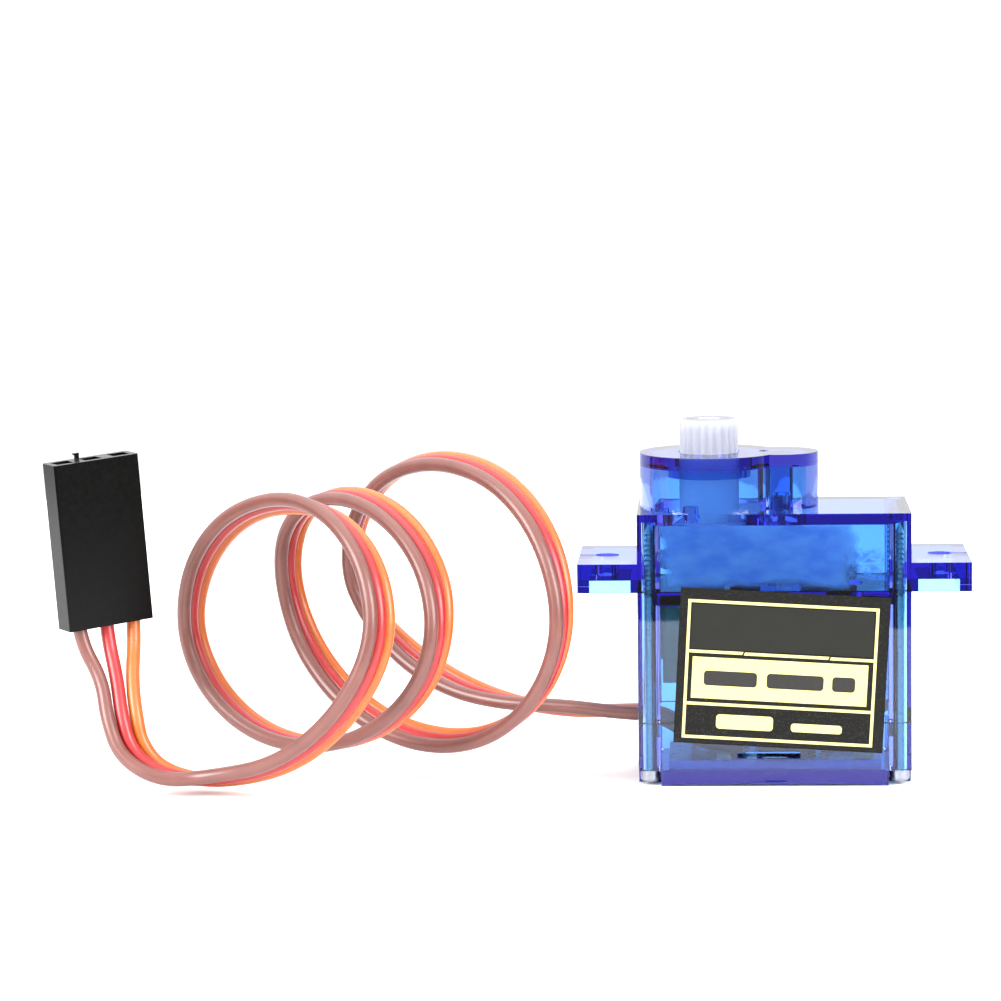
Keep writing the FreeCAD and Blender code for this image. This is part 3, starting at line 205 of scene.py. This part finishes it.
def label_paper():
    """The sticker's charcoal face, printed with a fine pale grain."""
    shader = Shader("label_charcoal")
    grain = shader.ramp(shader.noise(9.0, detail=4.0), 0.0, 1.0, 0.56, 0.70)
    shader.drive("Base Color", shader.mix(grain, (0.002, 0.002, 0.0016), (0.028, 0.027, 0.02)))
    shader.set(Roughness=0.5, Specular_IOR_Level=0.2)
    shader.bump(shader.noise(9.0), 0.01, 0.3)
    return shader.material


def plain_ink():
    """The even dark ink of the sticker's upper panel."""
    shader = Shader("charcoal_ink")
    tone = shader.ramp(shader.noise(0.5), 0.0, 1.0)
    shader.drive("Base Color", shader.mix(tone, (0.011, 0.0115, 0.0095), (0.0125, 0.013, 0.0105)))
    shader.set(Roughness=0.5, Specular_IOR_Level=0.2)
    return shader.material


def cream_ink():
    shader = Shader("cream_ink")
    tone = shader.ramp(shader.noise(3.0), 0.0, 1.0)
    shader.drive("Base Color", shader.mix(tone, (0.66, 0.60, 0.20), (0.70, 0.64, 0.23)))
    shader.set(Roughness=0.5)
    return shader.material


def dark_ink():
    shader = Shader("dark_ink")
    tone = shader.ramp(shader.noise(5.0), 0.0, 1.0)
    shader.drive("Base Color", shader.mix(tone, (0.005, 0.0045, 0.004), (0.010, 0.009, 0.007)))
    shader.set(Roughness=0.5)
    return shader.material


def metal(name, colour, roughness, per_mm=2.0, stretch=(1, 1, 1)):
    """Bare metal with fine wear in its roughness."""
    shader = Shader(name)
    wear = shader.noise(per_mm, stretch=stretch)
    darker = tuple(0.75 * c for c in colour)
    shader.drive("Base Color", shader.mix(shader.ramp(wear, 0.0, 1.0), darker, colour))
    shader.drive("Roughness", shader.ramp(wear, 0.7 * roughness, 1.4 * roughness))
    shader.set(Metallic=1.0)
    shader.bump(wear, 0.01, 0.3)
    return shader.material


def plastic(name, dark, light, roughness, grain_mm=0.008, per_mm=6.0, specular=0.5):
    """Moulded plastic with a faint grain and a slightly uneven tone."""
    shader = Shader(name)
    tone = shader.ramp(shader.noise(per_mm / 5), 0.0, 1.0)
    shader.drive("Base Color", shader.mix(tone, dark, light))
    shader.drive("Roughness", shader.ramp(shader.noise(per_mm / 2), 0.85 * roughness, 1.2 * roughness))
    shader.set(Specular_IOR_Level=specular)
    shader.bump(shader.noise(per_mm), grain_mm, 0.4)
    return shader.material


def insulation(name, dark, light):
    """Soft wire insulation with a dull sheen."""
    shader = Shader(name)
    tone = shader.ramp(shader.noise(0.5), 0.0, 1.0)
    shader.drive("Base Color", shader.mix(tone, dark, light))
    shader.set(Roughness=0.33, Subsurface_Weight=0.15, Subsurface_Scale=0.0004, Specular_IOR_Level=0.7)
    shader.bump(shader.noise(5.0), 0.008, 0.4)
    return shader.material


# ---------------------------------------------------------------- the lead
SERVO_END = [  # (the middle wire's place, the direction across from brown to orange)
    ((-2.6, 0, 2.5), (0, 1, 0)),
    ((-5.9, 0, 2.5), (0, 1, 0)),
    ((-9.3, 0, 5.2), (0, 1, 0)),
    ((-13.0, 0, 5.25), (0, 1, -0.1)),
    ((-17.5, 0.7, 5.4), (0.1, 0.93, -0.35)),
    ((-22.5, 2.2, 5.6), (0.25, 0.95, -0.1)),
    ((-27.3, 4.6, 6.7), (0.35, 0.9, 0.2)),
    ((-31.6, 7.2, 9.0), (0.4, 0.9, 0.2)),
    ((-34.9, 9.2, 12.3), (0.25, 0.95, 0.0)),
]
LOOP_HEADING = math.radians(42)
QUARTER_TURNS = [  # x, y, z, level half width, upright half width, lean in degrees
    (-26.9, 0.5, 16.4, 13.2, 11.4, 35),
    (-26.9, 0.0, 15.2, 14.0, 11.7, 5),
    (-27.0, -0.6, 13.9, 13.4, 12.9, -28),
    (-29.7, -1.0, 14.6, 13.7, 11.7, -12),
    (-32.4, -1.5, 15.3, 12.8, 11.1, 24),
    (-34.3, -2.1, 14.3, 13.2, 9.7, 2),
    (-36.7, -2.7, 13.2, 12.8, 8.8, -20),
    (-38.8, -3.4, 12.8, 13.0, 10.0, 4),
    (-41.0, -4.2, 12.3, 12.4, 11.1, 24),
    (-39.8, -5.1, 13.0, 13.5, 11.1, -24),
    (-41.5, -6.0, 13.7, 13.3, 12.1, -12),
    (-46.6, -8.6, 14.6, 13.5, 13.5, 17),
]
POINTS_A_QUARTER = 3
PLUG_END = [
    ((-50.7, -9.0, 1.55), (0.3, 0.9, 0.0)),
    ((-53.3, -8.5, 3.5), (0.6, 0.75, 0.25)),
    ((-54.15, -7.9, 6.3), (0.8, 0.5, 0.2)),
    ((-54.7, -6.3, 9.2), (0.9, 0.43, 0.05)),
]
PLUG_CENTRE = Vector((-56.2, -4.95, 20.7))
PLUG_SPIN = 33.4  # degrees about the plug's own length, then its tilt and roll
PLUG_TILT = 2.6
PLUG_ROLL = -3.5
PLUG_LENGTH = 14.0
PLUG_PITCH = 2.54
WIRE_END_LEVEL = 2.0
PLUG_LEAD_LEVEL = 1.0
WIRE_PITCH = 1.27
WIRE_RADIUS = 0.6
WIRES = (("brown", -1, 271.4), ("red", 0, 270.5), ("orange", 1, 270.4))  # rank and length


def loop_station(middle, level, upright, lean, quarters):
    """One place on the loops, and its direction across the three wires."""
    axis = Vector((math.sin(LOOP_HEADING), math.cos(LOOP_HEADING), 0))
    side = Vector((math.cos(LOOP_HEADING), -math.sin(LOOP_HEADING), 0))
    angle = math.radians(90 * quarters)
    outward = -side * math.sin(angle) - Z_AXIS * math.cos(angle)
    place = middle - side * (level * math.sin(angle)) - Z_AXIS * (upright * math.cos(angle))
    return place, axis * math.cos(math.radians(lean)) + outward * math.sin(math.radians(lean))


def loop_stations():
    stations = []
    for quarter, (row, following) in enumerate(zip(QUARTER_TURNS, QUARTER_TURNS[1:]), start=1):
        for step in range(POINTS_A_QUARTER):
            share = step / POINTS_A_QUARTER
            x, y, z, level, upright, lean = [a + (b - a) * share for a, b in zip(row, following)]
            stations.append(loop_station(Vector((x, y, z)), level, upright, lean, quarter + share))
    x, y, z, level, upright, lean = QUARTER_TURNS[-1]
    stations.append(loop_station(Vector((x, y, z)), level, upright, lean, len(QUARTER_TURNS)))
    return stations


def lead_stations():
    stations = [(Vector(p), Vector(a)) for p, a in SERVO_END]
    stations += loop_stations()
    stations += [(Vector(p), Vector(a)) for p, a in PLUG_END]
    places = [place for place, _ in stations]
    squared = []
    for number, (place, across) in enumerate(stations):
        before = places[max(number - 1, 0)]
        after = places[min(number + 1, len(places) - 1)]
        along = (after - before).normalized()
        squared.append((place, (across - along * across.dot(along)).normalized()))
    return squared


def plug_point(x, y, z):
    """A point given in the plug's own axes, as a place in the scene."""
    turn = (
        Matrix.Rotation(math.radians(PLUG_ROLL), 3, "Y")
        @ Matrix.Rotation(math.radians(PLUG_TILT), 3, "X")
        @ Matrix.Rotation(math.radians(PLUG_SPIN), 3, "Z"))
    return PLUG_CENTRE + turn @ Vector((x, y, z))


def wire_route(rank):
    points = [place + across * (rank * WIRE_PITCH) for place, across in lead_stations()]
    for level in (-PLUG_LEAD_LEVEL, WIRE_END_LEVEL):
        points.append(plug_point(rank * PLUG_PITCH, 0, -PLUG_LENGTH / 2 + level))
    return points


def make_wire(colour, rank, material):
    route = wire_route(rank)
    data = bpy.data.curves.new(f"lead_{colour}", "CURVE")
    data.dimensions = "3D"
    data.bevel_depth = WIRE_RADIUS * MM
    data.bevel_resolution = 6
    data.resolution_u = 10
    data.use_fill_caps = True
    spline = data.splines.new("NURBS")
    spline.points.add(len(route) - 1)
    for point, place in zip(spline.points, route):
        point.co = (*(place * MM), 1)
    spline.order_u = 3
    spline.use_endpoint_u = True
    spline.use_smooth = True
    data.materials.append(material)
    wire = bpy.data.objects.new(f"lead_{colour}", data)
    bpy.context.scene.collection.objects.link(wire)
    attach(wire, "servo_case")
    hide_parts(f"wire_{colour}")


# ---------------------------------------------------------------- the label's print
LABEL_CENTRE = Vector((0.6, 0, 9.7))
LABEL_TURN = 3.3
PRINT_HIGH = 0.012  # how far the ink stands off the sticker
BORDER = (-7.86, 7.64, -5.93, 5.44)  # the frame's left, right, bottom and top, in the sticker's own axes
PANEL = (-7.39, 7.10, -2.67, 0.78)
LINE_WIDE = 0.24
LINE_GAP = 0.34  # between the panel and the lines above and below it
LINE_BREAKS = (0.30, 0.757)  # where the line above the panel is broken, as shares of the frame's width
BREAK_HALF = 0.07
BREAK_DROP = 0.03  # how much lower each stretch of the broken line lies than the one before
LINE_SLANT = 0.05
WORD_BARS = ((-6.4, -2.0), (-1.2, 3.5), (4.2, 6.1))  # left and right of the dark bars in the panel
WORD_BAR_HALF = 0.62
LOW_BARS = (((-5.2, -0.5), (-5.15, -3.95), 0.3), ((1.0, 5.2), (-5.1, -4.4), 0.25))  # x, z, corner radius
CORNER_STEPS = 6


def rounded_patch(x_range, z_range, radius):
    """The outline of a patch with round corners."""
    low, high = x_range
    bottom, top = z_range
    outline = []
    corners = ((high, top, 0), (low, top, 90), (low, bottom, 180), (high, bottom, 270))
    for x, z, start in corners:
        inward_x = -radius if x == high else radius
        inward_z = -radius if z == top else radius
        for step in range(CORNER_STEPS + 1):
            angle = math.radians(start + 90 * step / CORNER_STEPS)
            centre_x, centre_z = x + inward_x, z + inward_z
            outline.append((centre_x + radius * math.cos(angle), centre_z + radius * math.sin(angle)))
    return outline


def print_on_label(name, outlines, material, layer=1):
    """Thin ink patches on the sticker, outlined in the sticker's own axes; layer 2 lies on layer 1."""
    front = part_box("label")[0].y / MM
    turn = Matrix.Rotation(math.radians(LABEL_TURN), 3, "Y")
    points = []
    faces = []
    for outline in outlines:
        start = len(points)
        count = len(outline)
        for depth in (front - layer * PRINT_HIGH, front - (layer - 1) * PRINT_HIGH - 0.001):
            points += [LABEL_CENTRE + turn @ Vector((x, 0, z)) + Y_AXIS * depth for x, z in outline]
        faces.append([start + number for number in range(count)])
        faces.append([start + count + number for number in reversed(range(count))])
        for number in range(count):
            following = (number + 1) % count
            near, far = start + following, start + count + following
            faces.append([start + number, start + count + number, far, near])
    piece = new_mesh(name, points, faces)
    paint(material, piece)
    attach(piece, "servo_case")


def box_outline(sides):
    """The outline of an upright rectangle given as left, right, bottom and top."""
    left, right, bottom, top = sides
    return [(right, top), (left, top), (left, bottom), (right, bottom)]


def line_across(x_range, z, slant=0.0):
    """A printed line along the sticker; slant leans its ends."""
    low, high = x_range
    half = LINE_WIDE / 2
    upper = [(high + slant, z + half), (low + slant, z + half)]
    return upper + [(low - slant, z - half), (high - slant, z - half)]


def make_label_print():
    """A cream frame, a cream panel between two lines, and plain bars where a real one has words."""
    cream = cream_ink()
    dark = dark_ink()
    left, right, bottom, top = BORDER
    half = LINE_WIDE / 2
    whole = (left - half, right + half)
    lines = [line_across(whole, top), line_across(whole, bottom)]
    for x in (left, right):
        outer, inner = x + half, x - half
        high, low = top - half, bottom + half
        lines.append([(outer, high), (inner, high), (inner, low), (outer, low)])
    panel_bottom, panel_top = PANEL[2:]
    upper = panel_top + LINE_GAP + half
    breaks = [left + half, *(left + share * (right - left) for share in LINE_BREAKS), right - half]
    for number, (start, end) in enumerate(zip(breaks, breaks[1:])):
        gap_left = BREAK_HALF if number else 0
        gap_right = BREAK_HALF if number < len(LINE_BREAKS) else 0
        stretch = (start + gap_left, end - gap_right)
        lines.append(line_across(stretch, upper - BREAK_DROP * number, LINE_SLANT))
    lines.append(line_across((left + half, right - half), panel_bottom - LINE_GAP - half))
    lines.append(box_outline(PANEL))
    print_on_label("label_frame", lines, cream)
    plain = (left + 2 * half, right - 2 * half, upper + 2 * half, top - 2 * half)
    print_on_label("label_plain_panel", [box_outline(plain)], plain_ink())
    middle = (panel_top + panel_bottom) / 2
    bar_level = (middle - WORD_BAR_HALF, middle + WORD_BAR_HALF)
    bars = [rounded_patch(bar, bar_level, 0.3) for bar in WORD_BARS]
    print_on_label("label_dark_bars", bars, dark, layer=2)
    print_on_label("label_cream_bars", [rounded_patch(*bar) for bar in LOW_BARS], cream)


# ---------------------------------------------------------------- grease on the inside of the front wall
CASE_WALL = 0.9
GREASE_GAP = 0.006  # between the film's flat side and the wall
GREASE_STEP = 0.12
GREASE_FULL = 0.12  # the film's height from which it is no longer seen through
SMEAR = (-9.9, 7.5, 16.25, 21.7)  # left, right, bottom and top of the smear in front of the wheels
SPREAD = (-10.1, 7.6, 15.2, 23.4)  # where it would fade out if the deck and the ceiling didn't cut it off
WRINKLES = (5.2, 9.6, 16.6, 20.3)  # a drier patch beside it


def lumps(x, z, cells_per_mm, seed):
    """Smooth noise from 0 to 1 at a place on the wall, the same on every run."""
    return 0.5 + 0.5 * noise.noise(Vector((x * cells_per_mm, z * cells_per_mm, 7.3 * seed)))


def inside(x, z, patch, fade):
    """How far a place is inside a patch's edge: 0 at the edge, 1 once it is fade millimetres in."""
    left, right, bottom, top = patch
    return min(x - left, right - x, z - bottom, top - z, fade) / fade


def smear_height(x, z):
    swell = 0.12 + 0.10 * lumps(x, z, 0.7, 1) + 0.05 * lumps(x, z, 2.4, 2)
    low = min((z - SMEAR[2]) / 2.2, 1.0)
    cover = inside(x, z, SPREAD, 2.6) - 0.75 * lumps(0.5 * x, z, 0.8, 3) * (1.15 - 0.45 * low)
    return swell * min(1.8 * cover, 1.0)


def wrinkle_height(x, z):
    folds = abs(lumps(x + 0.6 * z, 2.2 * z, 1.5, 4) - 0.5)
    return (0.02 + 0.6 * folds) * (inside(x, z, WRINKLES, 1.2) - 0.7 * lumps(x, z, 1.1, 5))


def grease_patch(name, patch, height, material):
    """A lumpy film on the front wall's inner face, bare where height(x, z) <= 0."""
    left, right, bottom, top = patch
    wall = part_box("middle_case")[0].y / MM + CASE_WALL + GREASE_GAP
    columns = round((right - left) / GREASE_STEP) + 1
    rows = round((top - bottom) / GREASE_STEP) + 1
    grid = [(left + GREASE_STEP * c, bottom + GREASE_STEP * r) for r in range(rows) for c in range(columns)]
    heights = [max(height(x, z), 0) for x, z in grid]
    points = [(x, wall + high, z) for (x, z), high in zip(grid, heights)]
    points += [(x, wall - GREASE_GAP / 2, z) for x, z in grid]
    flat = len(grid)
    faces = []
    for row in range(rows - 1):
        for column in range(columns - 1):
            first = row * columns + column
            quad = (first, first + columns, first + columns + 1, first + 1)
            if any(heights[corner] > 0 for corner in quad):
                faces.append(quad)
                faces.append(tuple(flat + corner for corner in reversed(quad)))
    piece = new_mesh(name, points, faces, smooth=True)
    milk = piece.data.attributes.new(MILK, "FLOAT", "POINT")
    for number, value in enumerate(milk.data):
        value.value = min(heights[number % flat] / GREASE_FULL, 1.0)
    paint(material, piece)
    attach(piece, "servo_case")


# ---------------------------------------------------------------- lights, floor and camera
WORLD_FRONT = 0.3
WORLD_BACK = 1.15
WORLD_TOP = 1.9
WORLD_SEEN = 1.2  # what the camera sees of the world, apart from what lights the object
FLOOR_RADIUS = 155
FLOOR_GAP = 0.04  # air under the object's flat base, which lets light through the base's plastic


def make_floor():
    """A round white table top that ends a little in front of the object."""
    centre = Vector((-22, 60, -FLOOR_GAP))
    rim = []
    for step in range(96):
        angle = math.radians(360 * step / 96)
        rim.append(centre + Vector((math.cos(angle), math.sin(angle), 0)) * FLOOR_RADIUS)
    floor = new_mesh("floor", rim, [list(range(len(rim)))])
    shader = Shader("white_floor")
    tone = shader.ramp(shader.noise(0.01), 0.0, 1.0)
    shader.drive("Base Color", shader.mix(tone, (0.93, 0.93, 0.935), (0.95, 0.95, 0.95)))
    shader.set(Roughness=0.7)
    paint(shader.material, floor)


def make_world():
    """White behind and above, dimmer low in front, where the room is."""
    world = bpy.data.worlds.new("studio")
    bpy.context.scene.world = world
    world.use_nodes = True
    nodes = world.node_tree.nodes
    links = world.node_tree.links

    def stretch(value, low, high):
        node = nodes.new("ShaderNodeMapRange")
        node.interpolation_type = "SMOOTHSTEP"
        node.inputs["From Min"].default_value = low
        node.inputs["From Max"].default_value = high
        links.new(value, node.inputs["Value"])
        return node.outputs["Result"]

    def math_node(operation, first, second, third=0.0):
        node = nodes.new("ShaderNodeMath")
        node.operation = operation
        for socket, value in zip(node.inputs, (first, second, third)):
            if isinstance(value, bpy.types.NodeSocket):
                links.new(value, socket)
            else:
                socket.default_value = value
        return node.outputs["Value"]

    direction = nodes.new("ShaderNodeSeparateXYZ")
    links.new(nodes.new("ShaderNodeTexCoord").outputs["Generated"], direction.inputs["Vector"])
    behind = stretch(direction.outputs["Y"], -0.25, 0.5)
    above = stretch(direction.outputs["Z"], 0.0, 0.45)
    bright = math_node("MAXIMUM", behind, above)
    level = math_node("MULTIPLY_ADD", bright, WORLD_BACK - WORLD_FRONT, WORLD_FRONT)
    level = math_node("MULTIPLY_ADD", above, WORLD_TOP - WORLD_BACK, level)
    seen = nodes.new("ShaderNodeMix")
    links.new(nodes.new("ShaderNodeLightPath").outputs["Is Camera Ray"], seen.inputs["Factor"])
    links.new(level, seen.inputs["A"])
    seen.inputs["B"].default_value = WORLD_SEEN
    links.new(seen.outputs["Result"], nodes["Background"].inputs["Strength"])
    nodes["Background"].inputs["Color"].default_value = (1.0, 1.0, 1.0, 1)


def make_light(name, place, target, size, watts):
    data = bpy.data.lights.new(name, "AREA")
    data.shape = "RECTANGLE"
    data.size, data.size_y = [side * MM for side in size]
    data.energy = watts
    light = bpy.data.objects.new(name, data)
    light.location = Vector(place) * MM
    light.rotation_euler = (Vector(target) - Vector(place)).to_track_quat("-Z", "Y").to_euler()
    bpy.context.scene.collection.objects.link(light)


CAMERA_PLACE = Vector((-4.226, -309.46, 61.146))
CAMERA_YAW = 3.441
CAMERA_PITCH = -6.965
CAMERA_ROLL = 0.813
CAMERA_LENS = 133.53


def make_camera():
    data = bpy.data.cameras.new("camera")
    data.sensor_width = 36
    data.lens = CAMERA_LENS
    data.clip_start = 0.01
    data.clip_end = 10
    camera = bpy.data.objects.new("camera", data)
    turn = (
        Matrix.Rotation(math.radians(CAMERA_YAW), 4, "Z")
        @ Matrix.Rotation(math.radians(CAMERA_PITCH), 4, "X")
        @ Matrix.Rotation(math.radians(CAMERA_ROLL), 4, "Y")
        @ Matrix.Rotation(math.radians(90), 4, "X"))
    camera.matrix_world = Matrix.Translation(CAMERA_PLACE * MM) @ turn
    bpy.context.scene.collection.objects.link(camera)
    bpy.context.scene.camera = camera


def set_looks():
    scene = bpy.context.scene
    scene.view_settings.view_transform = "Standard"
    scene.cycles.max_bounces = 24
    scene.cycles.transmission_bounces = 24
    scene.cycles.glossy_bounces = 8
    scene.cycles.diffuse_bounces = 6


# ---------------------------------------------------------------- the scene
blue = clear_blue()
white = nylon("white_nylon", WHEEL_DARK, WHEEL_LIGHT).material
steel = metal("zinc_steel", (0.52, 0.53, 0.56), 0.28)
screw_steel = metal("screw_steel", (0.36, 0.38, 0.44), 0.36, per_mm=4.0)
sheet_steel = metal("sheet_steel", (0.62, 0.62, 0.63), 0.3)
brass = metal("turned_brass", (0.80, 0.60, 0.28), 0.22)
copper = metal("copper_wire", (0.80, 0.38, 0.20), 0.3)
black = plastic(
    "black_gloss", (0.0012, 0.0012, 0.0011), (0.002, 0.002, 0.0019), 0.22, grain_mm=0.002, specular=0.12)
black_matte = plastic("black_matte", (0.015, 0.015, 0.016), (0.03, 0.03, 0.03), 0.55)
teal = plastic("teal_plastic", (0.001, 0.20, 0.07), (0.002, 0.26, 0.09), 0.4)
board = plastic("board_mask", (0.03, 0.10, 0.42), (0.05, 0.15, 0.52), 0.3)
ceramic = plastic("chip_ceramic", (0.35, 0.27, 0.20), (0.48, 0.38, 0.28), 0.5)
ferrite = plastic("ferrite", (0.03, 0.03, 0.032), (0.06, 0.06, 0.062), 0.7)
brown_wire = insulation("brown_insulation", (0.145, 0.047, 0.037), (0.175, 0.057, 0.045))
red_wire = insulation("red_insulation", (0.34, 0.010, 0.012), (0.40, 0.013, 0.015))
orange_wire = insulation("orange_insulation", (0.46, 0.098, 0.008), (0.52, 0.122, 0.011))
pale_wire = insulation("pale_insulation", (0.70, 0.70, 0.72), (0.80, 0.80, 0.82))

paint(blue, "top_case", "middle_case", "bottom_cover")
paint(output_nylon(), "output_gear")
paint(white, "third_gear", "second_gear", "first_gear", "pot_shaft")
paint(screw_steel, "case_screws")
paint(steel, "gear_axle", "motor_shaft", "pot_terminals")
paint(sheet_steel, "motor_can", "armature_core")
paint(brass, "motor_pinion", "motor_terminals", "motor_bushes", "motor_brushes", "pot_wiper", "plug_contacts")
paint(copper, "armature_windings", "commutator")
paint(black, "plug_housing")
paint(black_matte, "motor_end_cap", "driver_chip", "bridge_transistors")
paint(teal, "pot_housing", "pot_base")
paint(board, "circuit_board")
paint(ceramic, "chip_capacitors", "chip_resistors")
paint(ferrite, "motor_magnets", "pot_track")
paint(label_paper(), "label")
make_label_print()
paint(red_wire, "motor_leads")
paint(pale_wire, "pot_leads")
milk = grease()
grease_patch("grease_smear", SMEAR, smear_height, milk)
grease_patch("grease_wrinkles", WRINKLES, wrinkle_height, milk)

wire_paint = {"brown": brown_wire, "red": red_wire, "orange": orange_wire}
for colour, rank, length in WIRES:
    make_wire(colour, rank, wire_paint[colour])

make_floor()
make_world()
make_light("top_softbox", (0, 60, 420), (0, 0, 0), (500, 400), 0.6)
make_light("left_softbox", (-360, -300, 230), (-20, 0, 15), (260, 320), 3.3)
make_light("right_softbox", (370, -280, 210), (0, 0, 15), (260, 320), 2.9)
make_camera()
set_looks()
